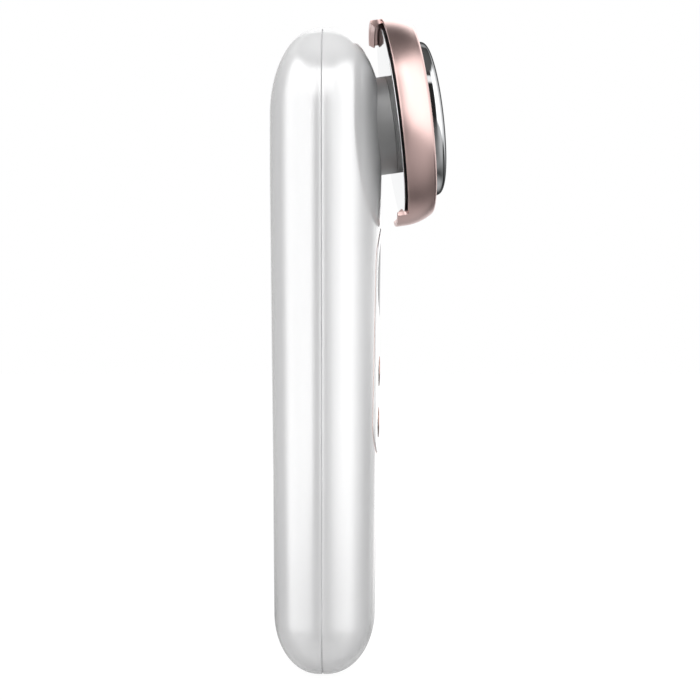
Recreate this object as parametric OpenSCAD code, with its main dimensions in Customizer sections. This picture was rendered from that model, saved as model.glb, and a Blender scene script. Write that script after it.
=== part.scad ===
// Handheld facial toning device: a slim two-shell handle, a control panel with a window and two
// buttons, and a round head on a short neck. The head holds a domed contact plate inside a
// pull-off ring that clamps a cotton pad.
// Axes: +Z up the handle, -Y the side that faces the user, X the width. The shells part at Y = 0.
// Origin: the mouth of the charging socket, in the middle of the handle's bottom end.
// Heights are measured from the lowest point of the handle until seat() moves each part.
// All sizes are in millimetres and degrees.

/* [Handle] */
// Height of the handle
body_h = 177.6; // [170:0.1:190]
// Width of the handle near the bottom
width_low = 38; // [36:0.5:42]
// Width of the handle near the top
width_high = 44.8; // [43:0.2:48]
// Depth of the front shell near the bottom
front_low = 14.2; // [13.8:0.1:15.5]
// Depth of the front shell near the top
front_high = 16.1; // [15.6:0.1:17.5]
// Depth of the rear shell near the bottom
rear_low = 13.45; // [13.2:0.05:15]
// Depth of the rear shell near the top
rear_high = 14.75; // [14.4:0.05:16]
// Height of the rounded top end
top_cap = 24.8; // [22:0.2:27]
// Height of the rounded bottom end
bottom_cap = 17.4; // [15:0.2:19]
// Squareness of the cross-section, where 2 is an ellipse
squareness = 2.6; // [2.2:0.1:3]
// Wall of the shells
wall = 2.3; // [2.1:0.1:2.6]
// Width of the parting groove
seam = 0.3; // [0.2:0.05:0.4]
// Depth of the seal's edge below the surface
seam_depth = 0.35; // [0.2:0.05:0.6]

/* [Control panel] */
// Distance of the panel's upper end below the top of the handle
panel_drop = 53.5; // [52:0.1:55]
// Length of the panel with its trim
panel_l = 64.3; // [62:0.1:67]
// Width of the panel with its trim
panel_w = 25.2; // [24.6:0.2:26.4]
// Radius of the panel's lower corners
panel_corner = 9.5; // [7:0.5:11]
// Depth of the recess that holds the panel
recess = 1.4; // [1.2:0.05:1.5]
// Width of the rose trim line
trim_w = 1.0; // [0.8:0.1:1.4]
// Depth of the trim's face below the surface of the shell
trim_sink = 0.15; // [0.05:0.05:0.3]
// Width of the display window
window_w = 20.2; // [18:0.2:20.6]
// Length of the display window
window_l = 24.5; // [23:0.5:26]
// Distance from the panel's top end to the window
window_margin = 3.6; // [3:0.1:4.4]

/* [Buttons] */
// Outer radius of a button's rim
rim_r = 4.3; // [4:0.05:4.6]
// Width of a button's rim
rim_w = 0.6; // [0.5:0.05:0.9]
// Height of a rim above the panel
rim_rise = 0.35; // [0.2:0.05:0.6]
// Travel of a button
travel = 0.5; // [0.3:0.05:0.6]
// Height of the power button above the panel's lower end
power_up = 23.3; // [22.4:0.1:24.4]
// Height of the mode button above the panel's lower end
mode_up = 9.1; // [8.4:0.1:10]

/* [Head] */
// Distance of the head's centre below the top of the handle
head_drop = 25.9; // [25:0.1:27.4]
// Distance from the parting plane to the head's centre
head_y = 19.35; // [19:0.05:22]
// Upward tilt of the head
head_tilt = 8; // [6:0.25:9]
// Outer radius of the ring at its rear edge
ring_r = 28; // [27.4:0.05:29.4]
// Radius of the ring's barrel curve along its axis
ring_curve = 13.7; // [12.6:0.1:15]
// Depth of the ring's band from its rear edge to its front lip
ring_l = 8.25; // [8.1:0.05:8.6]
// Wall of the ring
ring_wall = 1.25; // [1.1:0.05:1.3]
// Distance from the ring's outer edge in to the contact plate
lip_w = 7.1; // [6.8:0.1:7.4]
// Height of the plate's dome above the ring's opening
dome_h = 4.1; // [3.6:0.1:4.6]
// Squareness of the plate's domed section, where 2 is an ellipse
dome_squareness = 4.2; // [3:0.1:5]
// Wall of the contact plate
plate_wall = 1.0; // [0.8:0.1:1.2]
// Angle that each of the ring's two hooks spans
hook_span = 37; // [30:1:50]
// Length of the hooks behind the ring's rear edge
hook_l = 2.9; // [2.7:0.1:3.4]
// Distance from the ring's outer edge in to the dish's rim, which the hooks reach behind
rim_inset = 2.1; // [2:0.05:2.2]
// Outer radius of the neck
neck_r = 13.2; // [12.6:0.1:13.8]

/* [Inside] */
// Radius of the charging socket's bore
socket_bore_r = 1.25; // [1:0.05:1.6]
// Depth of the charging socket's bore
socket_bore_l = 9.5; // [8:0.5:11]
// Width of the battery
battery_w = 24; // [20:1:25]
// Length of the battery
battery_l = 46; // [40:1:50]
// Thickness of the battery
battery_t = 8; // [6:0.5:8.5]
// Thickness of the circuit board
board_t = 1.2; // [0.8:0.1:1.6]

/* [Hidden] */

$fn = 96;
small = 0.01;
slip = 0.05;             // clearance between pieces that touch in use
loose = 0.1;             // clearance between a piece and the opening it passes through

// Rows and columns of points on each shell
cap_rows = 10;
mid_rows = 3;
columns = 26;

socket_recess = 0.6;     // the socket's mouth lies this far above the handle's lowest point

// Ends of the straight taper between the two rounded ends
cap_z1 = body_h - top_cap;
taper_margin = 16.2;     // the taper ends this far below the rounded top end
taper_z0 = bottom_cap;
taper_z1 = cap_z1 - taper_margin;

// Heights of the panel's ends and of the buttons
panel_z1 = body_h - panel_drop;
panel_z0 = panel_z1 - panel_l;
power_z = panel_z0 + power_up;
mode_z = panel_z0 + mode_up;

// The head's main sizes
head_z = body_h - head_drop;
plate_r = ring_r - lip_w;
dish_r = ring_r - rim_inset;

function mix(a, b, t) = a + (b - a) * t;
function taper(z) = max(0, min(1, (z - taper_z0) / (taper_z1 - taper_z0)));
function round_end(t) = sqrt(max(0, 1 - t * t));
function end_scale(z) =
    z < bottom_cap ? round_end((bottom_cap - z) / bottom_cap)
    : z > cap_z1 ? round_end((z - cap_z1) / top_cap)
    : 1;
function half_w(z) = mix(width_low, width_high, taper(z)) / 2 * end_scale(z);
function front_d(z) = mix(front_low, front_high, taper(z)) * end_scale(z);
function rear_d(z) = mix(rear_low, rear_high, taper(z)) * end_scale(z);
// Depth of the outer surface, from the parting plane, at the distance x from the middle
function arch(x, z) = pow(max(0, 1 - pow(abs(x) / half_w(z), squareness)), 1 / squareness);
function front_at(x, z) = seam / 2 + (front_d(z) - seam / 2) * arch(x, z);
function rear_at(x, z) = seam / 2 + (rear_d(z) - seam / 2) * arch(x, z);

module seat() translate([0, 0, -socket_recess]) children();

// ---------------------------------------------------------------- shells

// Heights of the rows between the two poles of a shell
row_z = [
    for (i = [1 : cap_rows]) bottom_cap * (1 - cos(90 * i / cap_rows)),
    for (i = [1 : mid_rows]) mix(bottom_cap, taper_z1, i / mid_rows),
    for (i = [0 : cap_rows - 1]) cap_z1 + top_cap * sin(90 * i / cap_rows)
];
rows = len(row_z);

function signed_pow(v, p) = sign(v) * pow(abs(v), p);
function casing_row(z, depth, side) = [
    for (j = [0 : columns])
        let (a = mix(-90, 90, j / columns))
        [
            half_w(z) * signed_pow(sin(a), 2 / squareness),
            side * (seam / 2 + (depth - seam / 2) * pow(abs(cos(a)), 2 / squareness)),
            z
        ]
];
// The inner surface is the outer one, drawn in by the wall on every side
function drawn_in(p, depth, side) = [
    p[0] * (1 - 2 * wall / width_high),
    side * (seam / 2 + (side * p[1] - seam / 2) * (1 - wall / (depth - seam / 2))),
    wall + p[2] * (1 - 2 * wall / body_h)
];
function flipped(faces, flip) = flip ? [for (f = faces) [f[2], f[1], f[0]]] : faces;

// One half of the handle's hollow casing: side is -1 for the front and 1 for the rear
module half_casing(side) {
    max_depth = side < 0 ? front_high : rear_high;
    outer = [
        [0, side * seam / 2, 0],
        for (z = row_z) each casing_row(z, side < 0 ? front_d(z) : rear_d(z), side),
        [0, side * seam / 2, body_h]
    ];
    n = len(outer);
    inner = [for (p = outer) drawn_in(p, max_depth, side)];
    function at(i, j) = 1 + i * (columns + 1) + j;
    skin = [
        for (j = [0 : columns - 1]) [0, at(0, j + 1), at(0, j)],
        for (i = [0 : rows - 2], j = [0 : columns - 1])
            each [[at(i, j), at(i, j + 1), at(i + 1, j + 1)], [at(i, j), at(i + 1, j + 1), at(i + 1, j)]],
        for (j = [0 : columns - 1]) [n - 1, at(rows - 1, j), at(rows - 1, j + 1)]
    ];
    edge = [
        0, for (i = [0 : rows - 1]) at(i, 0),
        n - 1, for (i = [rows - 1 : -1 : 0]) at(i, columns)
    ];
    rim = [
        for (k = [0 : len(edge) - 1])
            let (a = edge[k], b = edge[(k + 1) % len(edge)])
            each [[b, a, n + a], [b, n + a, n + b]]
    ];
    inside = [for (f = skin) [n + f[0], n + f[2], n + f[1]]];
    polyhedron(concat(outer, inner), flipped(concat(skin, inside, rim), side > 0), convexity = 8);
}

// A curved sheet that follows the front shell: lift is above the surface, depth is below it
module front_sheet(half, z0, z1, lift, depth) {
    nx = 14;
    nz = 5;
    grid = [
        for (d = [lift, -depth], i = [0 : nz], j = [0 : nx])
            let (x = mix(-half, half, j / nx), z = mix(z0, z1, i / nz))
            [x, -(front_at(x, z) + d), z]
    ];
    m = (nx + 1) * (nz + 1);
    function at(i, j) = i * (nx + 1) + j;
    skin = [
        for (i = [0 : nz - 1], j = [0 : nx - 1])
            each [[at(i, j), at(i + 1, j + 1), at(i, j + 1)], [at(i, j), at(i + 1, j), at(i + 1, j + 1)]]
    ];
    edge = [
        for (j = [0 : nx]) at(0, j), for (i = [1 : nz]) at(i, nx),
        for (j = [nx - 1 : -1 : 0]) at(nz, j), for (i = [nz - 1 : -1 : 1]) at(i, 0)
    ];
    rim = [
        for (k = [0 : len(edge) - 1])
            let (a = edge[k], b = edge[(k + 1) % len(edge)])
            each [[a, b, m + b], [a, m + b, m + a]]
    ];
    inside = [for (f = skin) [m + f[0], m + f[2], m + f[1]]];
    polyhedron(grid, concat(skin, inside, rim), convexity = 4);
}

// Positions of the four screws that hold the board and the frame to the front shell
post_x = 9.6;
post_low = panel_z0 - 9.5;
post_high = panel_z1 + 5;
posts = [for (x = [-post_x, post_x], z = [post_low, post_high]) [x, z]];
post_r = 2.6;
pilot_r = 0.9;
screw_r = 1.0;
screw_hole_r = 1.15;
screw_bite = 3;                      // length of a board screw inside its boss

board_y = 8.2;                       // front face of the board, from the parting plane
board_back = board_y - board_t;
frame_y = 1.0;                       // front face of the inner frame
frame_back = -0.6;                   // its rear face, behind the parting plane
screw_seat = 0.8;                    // plane that the board screws' heads rest on, sunk in the frame

clip_l = 8;
clip_w = 1.2;
clip_reach = 3;
clip_z = [for (k = [0.21, 0.47, 0.72]) k * body_h];

socket_r = 3.2;
socket_neck_l = 4.5;

module rear_shell() color("white")
    difference() {
        union() {
            half_casing(1);
            for (z = clip_z, s = [-1, 1]) shell_clip(s, z);
        }
        socket_hole();
    }

// A tongue of the rear shell that reaches inside the front shell's wall
module shell_clip(s, z) {
    inner_w = half_w(z - clip_l / 2) * (1 - 2 * wall / width_high);
    x0 = inner_w - loose - clip_w;
    for (m = [s < 0 ? 1 : 0]) mirror([m, 0, 0]) {
        translate([x0, -clip_reach, z - clip_l / 2]) cube([clip_w, clip_reach + 4, clip_l]);
        translate([x0, seam, z - clip_l / 2]) cube([clip_w + wall / 2, 3.4, clip_l]);
    }
}

module socket_hole()
    translate([0, 0, -1]) cylinder(r = socket_r + loose, h = wall + 3);

module front_shell() color("white")
    difference() {
        union() {
            half_casing(-1);
            for (p = posts) boss(p[0], p[1]);
        }
        panel_recess();
        for (z = [power_z, mode_z]) on_panel(z) translate([0, 0, -wall - 2])
            cylinder(r = flange_r + 4 * loose, h = wall + 3);
        guide_opening(loose);
        for (p = posts) pilot(p[0], p[1]);
        on_head() translate([0, 0, -16]) cylinder(r = neck_r + loose, h = 20);
        socket_hole();
    }

// A screw boss that stands on the inside of the front shell
module boss(x, z) {
    end = front_at(x, z) - wall / 2;
    translate([x, -end, z]) rotate([-90, 0, 0]) cylinder(r = post_r, h = end - board_y, $fn = 32);
}

// The blind hole that a screw cuts its thread in
module pilot(x, z) {
    end = front_at(x, z) - 0.6 * wall;
    translate([x, -end, z]) rotate([-90, 0, 0]) cylinder(r = pilot_r, h = end - board_y + 1, $fn = 24);
}

// The seal follows the parting line, just below the surface
module seam_seal() color("dimgray")
    rotate([90, 0, 0]) linear_extrude(height = seam - 2 * small, center = true)
        difference() {
            handle_outline(seam_depth);
            handle_outline(wall);
            translate([0, socket_recess]) square([2 * socket_r + 2 * loose, 2 * wall + 4], center = true);
        }

// Front view of the handle, drawn in by an amount
module handle_outline(inset) {
    kx = 1 - 2 * inset / width_high;
    kz = 1 - 2 * inset / body_h;
    right = [[0, 0], for (z = row_z) [half_w(z), z], [0, body_h]];
    left = [for (i = [len(right) - 2 : -1 : 1]) [-right[i][0], right[i][1]]];
    polygon([for (p = concat(right, left)) [p[0] * kx, inset + p[1] * kz]]);
}

// ---------------------------------------------------------------- control panel

panel_slope = atan((front_high - front_low) / (taper_z1 - taper_z0));

// Front view of the panel, drawn in by an amount: a round top and two round lower corners
module panel_outline(inset) {
    r = panel_w / 2 - inset;
    top = panel_z1 - panel_w / 2;
    corner = panel_corner - inset;
    z0 = panel_z0 + inset;
    translate([0, top]) circle(r = r);
    translate([-r, z0 + corner]) square([2 * r, top - z0 - corner]);
    translate([-r + corner, z0]) square([2 * (r - corner), corner + small]);
    for (s = [-1, 1]) translate([s * (r - corner), z0 + corner]) circle(r = corner);
}

// Stands a front view upright and gives it depth, so that it can cut a sheet
module upright(depth = 30) rotate([90, 0, 0]) linear_extrude(height = depth) children();

module panel_sheet(lift, depth)
    front_sheet(panel_w / 2 + 2, panel_z0 - 2, panel_z1 + 2, lift, depth);

module panel_recess()
    intersection() {
        panel_sheet(3, recess);
        upright() panel_outline(-slip);
    }

module panel_trim() color([0.86, 0.66, 0.62])
    intersection() {
        panel_sheet(-trim_sink, recess - slip);
        upright() difference() {
            panel_outline(0);
            panel_outline(trim_w);
        }
    }

window_z1 = panel_z1 - window_margin;
window_z0 = window_z1 - window_l;

module window_outline(inset) {
    r = window_w / 2 - inset;
    corner = r;
    translate([0, window_z1 - window_w / 2]) circle(r = r);
    translate([0, window_z0 + window_w / 2]) circle(r = corner);
    translate([-r, window_z0 + window_w / 2]) square([2 * r, window_l - window_w]);
}

rim_depth = 0.6;
cap_gap = 0.1;
button_r = rim_r - rim_w - cap_gap;
bore_r = button_r + 0.07;

module control_panel() color("white")
    difference() {
        intersection() {
            panel_sheet(loose, recess - slip);
            upright() panel_outline(trim_w + slip);
        }
        upright() window_outline(-slip);
        for (z = [power_z, mode_z]) on_panel(z) {
            translate([0, 0, -recess - 1]) cylinder(r = bore_r, h = recess + 2);
            translate([0, 0, -rim_depth]) cylinder(r = rim_r + slip, h = 2);
        }
    }

module display_window() color("gray")
    intersection() {
        panel_sheet(loose, recess - slip);
        upright() window_outline(0);
    }

// Places a part on the panel's surface: local Z points out of the panel
module on_panel(z)
    translate([0, -front_d(z), z]) rotate([90 + panel_slope, 0, 0]) children();

guide_w = 11;
guide_l = 17;
guide_z = (window_z0 + window_z1) / 2;
cell_r = 1.3;
cell_pitch = 3.2;
cells = [for (i = [-2 : 2]) guide_z + i * cell_pitch];
led_h = 0.9;
guide_front = front_at(guide_w / 2, window_z0 + 3) - recess - 2 * slip;

module guide_outline(grow) {
    r = guide_w / 2 + grow;
    for (s = [-1, 1]) translate([0, guide_z + s * (guide_l - guide_w) / 2]) circle(r = r);
    translate([-r, guide_z - (guide_l - guide_w) / 2]) square([2 * r, guide_l - guide_w]);
}

module guide_opening(grow)
    upright() guide_outline(grow);

// A light box with one cell in front of each indicator lamp
module light_guide() color("whitesmoke")
    translate([0, -board_y - led_h - slip, 0])
        upright(guide_front - board_y - led_h - slip) difference() {
            guide_outline(0);
            for (z = cells) translate([0, z]) circle(r = cell_r, $fn = 32);
        }

// ---------------------------------------------------------------- buttons

flange_r = 4.5;
flange_t = 0.5;
stem_r = 1.5;
switch_w = 4.6;
switch_h = 2.5;
plunger_r = 1.1;
plunger_h = 0.8;
plunger_y = board_y + switch_h + plunger_h;

module button_rims() color([0.86, 0.66, 0.62])
    for (z = [power_z, mode_z]) on_panel(z) rotate_extrude() rim_profile();

module rim_profile() {
    bevel = rim_w / 3;
    polygon([
        [rim_r - rim_w, -rim_depth + slip], [rim_r, -rim_depth + slip], [rim_r, rim_rise - bevel],
        [rim_r - bevel, rim_rise], [rim_r - rim_w + bevel, rim_rise], [rim_r - rim_w, rim_rise - bevel]
    ]);
}

// A button: a cap in the rim, a flange that keeps it in, and a stem that meets its switch
module button(z) {
    stem_end = (front_d(z) - plunger_y) / cos(panel_slope) - travel - slip;
    cap_rise = rim_rise - loose;
    dome = 0.25;
    on_panel(z) rotate_extrude() polygon([
        [0, -stem_end], [stem_r, -stem_end], [stem_r, -recess - slip - flange_t],
        [flange_r, -recess - slip - flange_t], [flange_r, -recess - slip], [button_r, -recess - slip],
        [button_r, cap_rise - dome],
        for (a = [15 : 15 : 90]) [button_r * cos(a), cap_rise - dome + dome * sin(a)]
    ]);
}

module power_button() color("white") button(power_z);
module mode_button() color("white") button(mode_z);

module tact_switches() color("silver")
    for (z = [power_z, mode_z]) translate([0, -board_y, z]) rotate([90, 0, 0]) {
        translate([-switch_w / 2, -switch_w / 2, 0]) cube([switch_w, switch_w, switch_h]);
        cylinder(r = plunger_r, h = switch_h + plunger_h, $fn = 32);
    }

// ---------------------------------------------------------------- inside the handle

board_w = 26;
board_z0 = post_low - 6;
board_z1 = post_high + 4;

module main_board() color("darkgreen")
    translate([0, -board_back, 0]) upright(board_t) difference() {
        translate([-board_w / 2, board_z0]) square([board_w, board_z1 - board_z0]);
        for (p = posts) translate(p) circle(r = screw_hole_r, $fn = 32);
    }

module indicator_leds() color("lightyellow")
    for (z = cells) translate([-0.8, -board_y - led_h, z - 0.8]) cube([1.6, led_h, 1.6]);

chip_t = 1.4;
// Chips on the rear face of the board: middle x, distance below its upper end, width, length
chips = [[-5, 21, 9, 9], [7, 33, 6, 10], [6, 15, 5, 4], [-6, 37, 7, 5]];

module board_chips() color("black")
    for (c = chips)
        translate([c[0] - c[2] / 2, -board_back, board_z1 - c[1] - c[3] / 2]) cube([c[2], chip_t, c[3]]);

frame_w = 30;
frame_z0 = 18;
tray_wall = 1.2;
tray_h = 5;
battery_z0 = 34;
battery_z1 = battery_z0 + battery_l;
neck_pad_r = 11.5;
neck_back = 9;                       // plane where the neck meets the frame
neck_seat_z = head_z - (head_y - neck_back) * tan(head_tilt);
neck_screw_circle = 8;
web = 2.5;
slot_w = 18;
slot_gap = 6;
slot_z0 = battery_z1 + 14;
slot_l = (neck_seat_z - frame_w / 2 - 1 - slot_z0 - slot_gap) / 2;

function neck_screw_at(i) =
    [neck_screw_circle * cos(90 + 120 * i), neck_seat_z + neck_screw_circle * sin(90 + 120 * i)];

// The frame carries the battery behind it and the board and the neck in front of it
module inner_frame() color("gainsboro")
    difference() {
        union() {
            translate([0, -frame_back, 0]) upright(frame_y - frame_back) {
                translate([-frame_w / 2, frame_z0 + 8]) square([frame_w, neck_seat_z - frame_z0 - 8]);
                translate([-8, frame_z0]) square([16, 10]);
                translate([0, neck_seat_z]) circle(r = frame_w / 2);
            }
            for (p = posts) translate([p[0], -board_back, p[1]]) rotate([-90, 0, 0])
                cylinder(r = post_r, h = board_back - frame_y + small, $fn = 32);
            translate([0, -neck_back, neck_seat_z]) rotate([-90, 0, 0])
                cylinder(r = neck_pad_r, h = neck_back - frame_y + small);
            battery_tray();
        }
        for (p = posts) translate([p[0], 0, p[1]]) {
            translate([0, -board_back - 1, 0]) rotate([-90, 0, 0])
                cylinder(r = screw_hole_r, h = board_back + 4, $fn = 32);
            translate([0, -screw_seat, 0]) rotate([-90, 0, 0])
                cylinder(r = screw_head_r + 2 * loose, h = 4, $fn = 32);
        }
        for (i = [0 : 2]) translate([neck_screw_at(i)[0], 0, neck_screw_at(i)[1]]) {
            translate([0, -neck_back - 1, 0]) rotate([-90, 0, 0])
                cylinder(r = screw_hole_r, h = neck_back + 4, $fn = 32);
            translate([0, -neck_back + web, 0]) rotate([-90, 0, 0])
                cylinder(r = head_screw_r + 2 * loose, h = neck_back + 2, $fn = 32);
        }
        // Way for the wires to the head
        translate([0, -neck_back - 1, neck_seat_z]) rotate([-90, 0, 0])
            cylinder(r = 3, h = neck_back + 4, $fn = 48);
        // Lightening slots
        for (i = [0 : 1])
            translate([-slot_w / 2, -frame_y - 1, slot_z0 + i * (slot_l + slot_gap)])
                cube([slot_w, frame_y - frame_back + 2, slot_l]);
    }

module battery_tray()
    translate([0, -frame_back + tray_h, 0]) upright(tray_h + small) difference() {
        translate([-battery_w / 2 - tray_wall - loose, battery_z0 - tray_wall - loose])
            square([battery_w + 2 * tray_wall + 2 * loose, battery_l + 2 * tray_wall + 2 * loose]);
        translate([-battery_w / 2 - loose, battery_z0 - loose])
            square([battery_w + 2 * loose, battery_l + 2 * loose]);
    }

battery_y0 = -frame_back + slip;

module battery() color("slategray")
    translate([0, battery_y0 + battery_t, 0]) upright(battery_t) {
        r = 1.5;
        for (x = [-1, 1], z = [battery_z0 + r, battery_z1 - r])
            translate([x * (battery_w / 2 - r), z]) circle(r = r, $fn = 32);
        translate([-battery_w / 2 + r, battery_z0]) square([battery_w - 2 * r, battery_l]);
        translate([-battery_w / 2, battery_z0 + r]) square([battery_w, battery_l - 2 * r]);
    }

pad_t = 1.2;
pad_margin = 2;                      // border of the battery that the pad leaves free

module battery_pad() color("dimgray")
    translate([0, battery_y0 + battery_t + pad_t + small, 0]) upright(pad_t)
        translate([-battery_w / 2 + pad_margin, battery_z0 + pad_margin])
            square([battery_w - 2 * pad_margin, battery_l - 2 * pad_margin]);

screw_head_r = 1.9;
head_screw_r = 2.0;
screw_head_h = 1.3;

// A pan-head screw: local Z leaves its head, and its shank runs the other way
module screw(length, head_r = screw_head_r)
    difference() {
        union() {
            cylinder(r = head_r, h = screw_head_h, $fn = 32);
            translate([0, 0, -length]) cylinder(r = screw_r - 0.12, h = length + small, $fn = 24);
        }
        translate([0, 0, screw_head_h - 0.8]) cylinder(r = 0.9, h = 1, $fn = 6);
    }

module board_screws() color("silver")
    for (p = posts) translate([p[0], -screw_seat + slip, p[1]]) rotate([-90, 0, 0])
        screw(board_y - screw_seat + slip + screw_bite);

socket_body = 7;
socket_l = 13;

// The charging socket: a round barrel with a blind bore, on a square body
module charge_socket() color("dimgray")
    translate([0, 0, socket_recess]) difference() {
        union() {
            cylinder(r = socket_r, h = socket_neck_l);
            translate([-socket_body / 2, -socket_body / 2, socket_neck_l - 1])
                cube([socket_body, socket_body, socket_l - socket_neck_l + 1]);
        }
        translate([0, 0, -1]) cylinder(r = socket_bore_r, h = socket_bore_l + 1, $fn = 48);
    }

// ---------------------------------------------------------------- head

// Places a part on the head: local Z is the head's axis and points away from the handle,
// local Y points up the head, and 0 is the rear edge of the ring's band
module on_head()
    translate([0, -head_y, head_z]) rotate([90 - head_tilt, 0, 0]) children();

dish_back = -0.75;
dish_front = 0.1;
dish_step_r = dish_r - 1.95;
lip_back = -0.72;
lip_front = -0.42;

// The neck: a can between the frame and the dish, cut off square where it meets the frame
neck_web = 4;
neck_bore_r = neck_r - 2;

module neck() color("gray")
    difference() {
        intersection() {
            on_head() translate([0, 0, -20]) cylinder(r = neck_r, h = 20 + dish_back - slip);
            translate([-20, -40, head_z - 20]) cube([40, 40 - neck_back - slip, 40]);
        }
        intersection() {
            on_head() translate([0, 0, -20])
                cylinder(r = neck_bore_r, h = 20 + dish_back - neck_web);
            translate([-20, -40, head_z - 20]) cube([40, 40 - neck_back - web, 40]);
        }
        on_head() {
            translate([0, 0, -6]) cylinder(r = 3, h = 8, $fn = 48);
            for (a = head_screw_angles) rotate(a) translate([head_screw_circle, 0, -7])
                cylinder(r = pilot_r, h = 8, $fn = 24);
        }
        translate([0, -neck_back - 4, neck_seat_z]) rotate([-90, 0, 0]) cylinder(r = 3, h = 6, $fn = 48);
        for (i = [0 : 2]) translate([neck_screw_at(i)[0], -neck_back - 4, neck_screw_at(i)[1]])
            rotate([-90, 0, 0]) cylinder(r = pilot_r, h = 6, $fn = 24);
    }

module neck_screws() color("silver")
    for (i = [0 : 2])
        translate([neck_screw_at(i)[0], -neck_back + web + slip, neck_screw_at(i)[1]])
            rotate([-90, 0, 0]) screw(web + 2.2, head_screw_r);

head_screw_angles = [90, 210, 330];
head_screw_circle = 10;
carrier_floor = 1.65;

// The chromed dish that closes the back of the head
module back_dish() color("lightsteelblue")
    on_head() difference() {
        rotate_extrude() polygon([
            [0, dish_back], [neck_r, dish_back], [dish_r - 0.6, lip_back],
            for (a = [-60 : 30 : 60])
                [dish_r - 0.15 + 0.15 * cos(a), (lip_back + lip_front) / 2 + 0.15 * sin(a)],
            [dish_step_r, lip_front], [dish_step_r, dish_front], [0, dish_front]
        ]);
        translate([0, 0, -3]) cylinder(r = 3, h = 6, $fn = 48);
        for (a = head_screw_angles) rotate(a) translate([head_screw_circle, 0, -3])
            cylinder(r = screw_hole_r, h = 6, $fn = 32);
    }

carrier_r = ring_r - 2.5;
well_r = plate_r + 2 * slip;
ledge_z = 3.9;
ledge_r = plate_r - 1.8;
carrier_top = 6.2;
carrier_back = lip_front + slip;
seal_t = 0.7;

// The black carrier that holds the contact plate
module head_carrier() color([0.1, 0.1, 0.1])
    on_head() difference() {
        rotate_extrude() polygon([
            [0, dish_front + slip], [dish_step_r + slip, dish_front + slip],
            [dish_step_r + slip, carrier_back], [carrier_r, carrier_back], [carrier_r, 3.2],
            for (a = [18 : 18 : 72])
                [carrier_r - 2 + 2 * cos(a), 3.2 + (carrier_top - 3.2) * sin(a)],
            [carrier_r - 2, carrier_top], [well_r, carrier_top], [well_r, ledge_z],
            [ledge_r, ledge_z], [ledge_r, carrier_floor], [0, carrier_floor]
        ]);
        translate([0, 0, -3]) cylinder(r = 3, h = 6, $fn = 48);
        for (a = head_screw_angles) rotate(a) translate([head_screw_circle, 0, -3])
            cylinder(r = screw_hole_r, h = 6, $fn = 32);
    }

module head_screws() color("silver")
    on_head() for (a = head_screw_angles) rotate(a)
        translate([head_screw_circle, 0, carrier_floor + slip]) screw(carrier_floor - dish_back + 3);

module plate_seal() color("black")
    on_head() translate([0, 0, ledge_z + small]) rotate_extrude()
        translate([ledge_r + 0.1, 0]) square([plate_r - ledge_r - 0.15, seal_t]);

plate_base = ledge_z + seal_t + 2 * small;
dome_z = ring_l + 0.15;
dome_steps = 18;

// Quarter of the dome's section, from its edge to its apex, and its height at a radius
function dome_arc(r, h) = [
    for (i = [0 : dome_steps])
        let (a = 45 * (1 - cos(180 * i / dome_steps)), e = 2 / dome_squareness)
        [r * pow(cos(a), e), dome_z + h * pow(sin(a), e)]
];
function dome_at(x, r, h) = dome_z + h * pow(1 - pow(x / r, dome_squareness), 1 / dome_squareness);

// The domed contact plate: a thin cap with a straight skirt
module contact_plate() color("lightgray")
    on_head() rotate_extrude() polygon(concat(
        [[plate_r, plate_base]],
        dome_arc(plate_r, dome_h),
        [for (i = [dome_steps : -1 : 0]) dome_arc(plate_r - plate_wall, dome_h - plate_wall)[i]],
        [[plate_r - plate_wall, plate_base]]
    ));

pin_u = plate_r - 7.9;
pin_r = 1.4;

// A sprung pin that carries current to the plate
module contact_pin() color("gold")
    on_head() translate([0, -pin_u, carrier_floor + small]) {
        top = dome_at(pin_u + pin_r, plate_r - plate_wall, dome_h - plate_wall) - slip;
        cylinder(r = 2.2, h = 1, $fn = 32);
        cylinder(r = pin_r, h = top - carrier_floor - 2, $fn = 32);
        cylinder(r = 0.8, h = top - carrier_floor, $fn = 32);
    }

motor_r = 4;
motor_l = 14;
motor_x = -9;                        // rear end of the motor
motor_z = carrier_floor + motor_r + 0.8;
shaft_r = 0.75;
shaft_out = 6.5;
weight_r = 3.4;
weight_l = 4.5;
bush_r = 1.6;

module along_motor() on_head() translate([motor_x, 0, motor_z]) rotate([0, 90, 0]) children();

module vibration_motor() color("silver")
    along_motor() difference() {
        union() {
            cylinder(r = motor_r, h = motor_l);
            translate([0, 0, motor_l]) cylinder(r = bush_r, h = 0.8, $fn = 32);
        }
        translate([0, 0, motor_l - 6]) cylinder(r = shaft_r + slip, h = 8, $fn = 32);
    }

module motor_shaft() color("lightgray")
    along_motor() translate([0, 0, motor_l - 5.5]) cylinder(r = shaft_r, h = 5.5 + shaft_out, $fn = 32);

// A half-round weight that turns with the shaft and shakes the head
module eccentric_weight() color("goldenrod")
    along_motor() translate([0, 0, motor_l + 1.6]) difference() {
        cylinder(r = weight_r, h = weight_l, $fn = 48);
        translate([-5 - 1.2, -5, -1]) cube([5, 10, weight_l + 2]);
        translate([0, 0, -1]) cylinder(r = shaft_r + 0.01, h = weight_l + 2, $fn = 32);
    }

clip_t = 0.8;
saddle_w = 2.4;                      // width of each of the two saddles
saddle_at = [0.23 * motor_l, 0.68 * motor_l];

// A saddle that holds the motor to the carrier's floor
module motor_clip() color("dimgray")
    along_motor() for (z = saddle_at) translate([0, 0, z]) difference() {
        intersection() {
            union() {
                cylinder(r = motor_r + clip_t, h = saddle_w);
                translate([0, -motor_r - clip_t, 0])
                    cube([motor_z - carrier_floor - small, 2 * (motor_r + clip_t), saddle_w]);
            }
            translate([-motor_r / 2, -2 * motor_r, -1])
                cube([motor_r / 2 + motor_z - carrier_floor - small, 4 * motor_r, saddle_w + 2]);
        }
        translate([0, 0, -1]) cylinder(r = motor_r + 0.02, h = saddle_w + 2);
    }

// ---------------------------------------------------------------- retaining ring

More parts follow.
